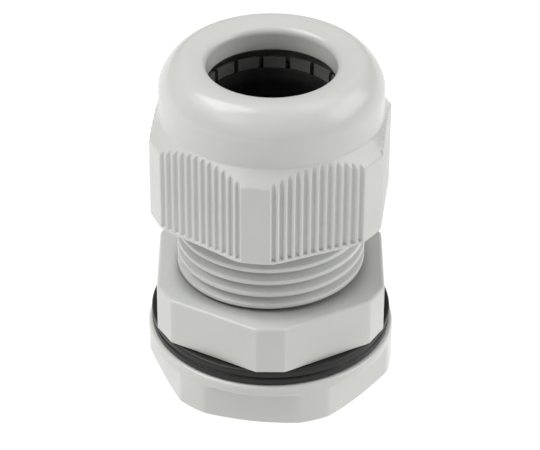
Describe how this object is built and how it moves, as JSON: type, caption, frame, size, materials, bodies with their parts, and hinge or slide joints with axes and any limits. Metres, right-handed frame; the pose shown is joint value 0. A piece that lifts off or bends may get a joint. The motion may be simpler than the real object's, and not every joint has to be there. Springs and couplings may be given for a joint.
{
  "type": "cable gland",
  "caption": "Plastic cable gland: hexagonal threaded body, dome nut with ribbed flats over a slotted clamping insert and rubber seal, flat gasket and flanged lock nut.",
  "frame": {"origin": "centre of the free end of the entry spigot, which is the lowest point of the part", "axes": "+Z along the cable axis from the entry spigot to the dome nut; -Y faces the corner of the body's collar that points at the viewer"},
  "size_m": [0.0264, 0.0262, 0.0381],
  "materials": {
    "housing_plastic": "satin moulded light grey polyamide",
    "claw_plastic": "satin moulded dark grey polyamide",
    "seal_rubber": "matt black synthetic rubber",
    "gasket_rubber": "matt black synthetic rubber"
  },
  "bodies": {
    "gland_body": {"gland_body": "housing_plastic"},
    "clamping_insert": {"claw_ring": "claw_plastic", "sealing_insert": "seal_rubber"},
    "dome_nut": {"dome_nut": "housing_plastic"},
    "gasket": {"gasket": "gasket_rubber"},
    "lock_nut": {"lock_nut": "housing_plastic"},
    "finger_01": {"finger_01": "claw_plastic"},
    "finger_02": {"finger_02": "claw_plastic"},
    "finger_03": {"finger_03": "claw_plastic"},
    "finger_04": {"finger_04": "claw_plastic"},
    "finger_05": {"finger_05": "claw_plastic"},
    "finger_06": {"finger_06": "claw_plastic"},
    "finger_07": {"finger_07": "claw_plastic"},
    "finger_08": {"finger_08": "claw_plastic"},
    "finger_09": {"finger_09": "claw_plastic"},
    "finger_10": {"finger_10": "claw_plastic"},
    "finger_11": {"finger_11": "claw_plastic"},
    "finger_12": {"finger_12": "claw_plastic"},
    "finger_13": {"finger_13": "claw_plastic"},
    "finger_14": {"finger_14": "claw_plastic"},
    "finger_15": {"finger_15": "claw_plastic"},
    "finger_16": {"finger_16": "claw_plastic"}
  },
  "joints": [
    {"name": "insert_travel", "type": "slide", "parent": "gland_body", "child": "clamping_insert", "axis": [0, 0, 1], "range_m": [-0.0045, 0], "deforming": ["sealing_insert"]},
    {"name": "dome_nut_turn", "type": "hinge", "parent": "clamping_insert", "child": "dome_nut", "pos_m": [0, 0, 0.02145], "axis": [0, 0, 1], "range_deg": [-1081, 0]},
    {"name": "gasket_travel", "type": "slide", "parent": "gland_body", "child": "gasket", "axis": [0, 0, 1], "range_m": [-0.00675, 0]},
    {"name": "lock_nut_turn", "type": "hinge", "parent": "gasket", "child": "lock_nut", "pos_m": [0, 0, 0.0035], "axis": [0, 0, 1], "range_deg": [-1621, 0]},
    {"name": "finger_01_flex", "type": "hinge", "parent": "clamping_insert", "child": "finger_01", "pos_m": [0.00031, 0.00744, 0.022], "axis": [0.9991, -0.0419, 0], "range_deg": [0, 4.61]},
    {"name": "finger_02_flex", "type": "hinge", "parent": "clamping_insert", "child": "finger_02", "pos_m": [-0.00256, 0.007, 0.022], "axis": [0.9391, 0.3437, 0], "range_deg": [0, 4.61]},
    {"name": "finger_03_flex", "type": "hinge", "parent": "clamping_insert", "child": "finger_03", "pos_m": [-0.00504, 0.00548, 0.022], "axis": [0.7361, 0.6769, 0], "range_deg": [0, 4.61]},
    {"name": "finger_04_flex", "type": "hinge", "parent": "clamping_insert", "child": "finger_04", "pos_m": [-0.00676, 0.00314, 0.022], "axis": [0.421, 0.907, 0], "range_deg": [0, 4.61]},
    {"name": "finger_05_flex", "type": "hinge", "parent": "clamping_insert", "child": "finger_05", "pos_m": [-0.00744, 0.00031, 0.022], "axis": [0.0419, 0.9991, 0], "range_deg": [0, 4.61]},
    {"name": "finger_06_flex", "type": "hinge", "parent": "clamping_insert", "child": "finger_06", "pos_m": [-0.007, -0.00256, 0.022], "axis": [-0.3437, 0.9391, 0], "range_deg": [0, 4.61]},
    {"name": "finger_07_flex", "type": "hinge", "parent": "clamping_insert", "child": "finger_07", "pos_m": [-0.00548, -0.00504, 0.022], "axis": [-0.6769, 0.7361, 0], "range_deg": [0, 4.61]},
    {"name": "finger_08_flex", "type": "hinge", "parent": "clamping_insert", "child": "finger_08", "pos_m": [-0.00314, -0.00676, 0.022], "axis": [-0.907, 0.421, 0], "range_deg": [0, 4.61]},
    {"name": "finger_09_flex", "type": "hinge", "parent": "clamping_insert", "child": "finger_09", "pos_m": [-0.00031, -0.00744, 0.022], "axis": [-0.9991, 0.0419, 0], "range_deg": [0, 4.61]},
    {"name": "finger_10_flex", "type": "hinge", "parent": "clamping_insert", "child": "finger_10", "pos_m": [0.00256, -0.007, 0.022], "axis": [-0.9391, -0.3437, 0], "range_deg": [0, 4.61]},
    {"name": "finger_11_flex", "type": "hinge", "parent": "clamping_insert", "child": "finger_11", "pos_m": [0.00504, -0.00548, 0.022], "axis": [-0.7361, -0.6769, 0], "range_deg": [0, 4.61]},
    {"name": "finger_12_flex", "type": "hinge", "parent": "clamping_insert", "child": "finger_12", "pos_m": [0.00676, -0.00314, 0.022], "axis": [-0.421, -0.907, 0], "range_deg": [0, 4.61]},
    {"name": "finger_13_flex", "type": "hinge", "parent": "clamping_insert", "child": "finger_13", "pos_m": [0.00744, -0.00031, 0.022], "axis": [-0.0419, -0.9991, 0], "range_deg": [0, 4.61]},
    {"name": "finger_14_flex", "type": "hinge", "parent": "clamping_insert", "child": "finger_14", "pos_m": [0.007, 0.00256, 0.022], "axis": [0.3437, -0.9391, 0], "range_deg": [0, 4.61]},
    {"name": "finger_15_flex", "type": "hinge", "parent": "clamping_insert", "child": "finger_15", "pos_m": [0.00548, 0.00504, 0.022], "axis": [0.6769, -0.7361, 0], "range_deg": [0, 4.61]},
    {"name": "finger_16_flex", "type": "hinge", "parent": "clamping_insert", "child": "finger_16", "pos_m": [0.00314, 0.00676, 0.022], "axis": [0.907, -0.421, 0], "range_deg": [0, 4.61]}
  ],
  "couplings": [
    {"joint": "dome_nut_turn", "follows": "insert_travel", "rad_per_m": 4188.8},
    {"joint": "lock_nut_turn", "follows": "gasket_travel", "rad_per_m": 4188.8},
    {"joint": "finger_01_flex", "follows": "insert_travel", "rad_per_m": -17.841},
    {"joint": "finger_02_flex", "follows": "insert_travel", "rad_per_m": -17.841},
    {"joint": "finger_03_flex", "follows": "insert_travel", "rad_per_m": -17.841},
    {"joint": "finger_04_flex", "follows": "insert_travel", "rad_per_m": -17.841},
    {"joint": "finger_05_flex", "follows": "insert_travel", "rad_per_m": -17.841},
    {"joint": "finger_06_flex", "follows": "insert_travel", "rad_per_m": -17.841},
    {"joint": "finger_07_flex", "follows": "insert_travel", "rad_per_m": -17.841},
    {"joint": "finger_08_flex", "follows": "insert_travel", "rad_per_m": -17.841},
    {"joint": "finger_09_flex", "follows": "insert_travel", "rad_per_m": -17.841},
    {"joint": "finger_10_flex", "follows": "insert_travel", "rad_per_m": -17.841},
    {"joint": "finger_11_flex", "follows": "insert_travel", "rad_per_m": -17.841},
    {"joint": "finger_12_flex", "follows": "insert_travel", "rad_per_m": -17.841},
    {"joint": "finger_13_flex", "follows": "insert_travel", "rad_per_m": -17.841},
    {"joint": "finger_14_flex", "follows": "insert_travel", "rad_per_m": -17.841},
    {"joint": "finger_15_flex", "follows": "insert_travel", "rad_per_m": -17.841},
    {"joint": "finger_16_flex", "follows": "insert_travel", "rad_per_m": -17.841}
  ]
}
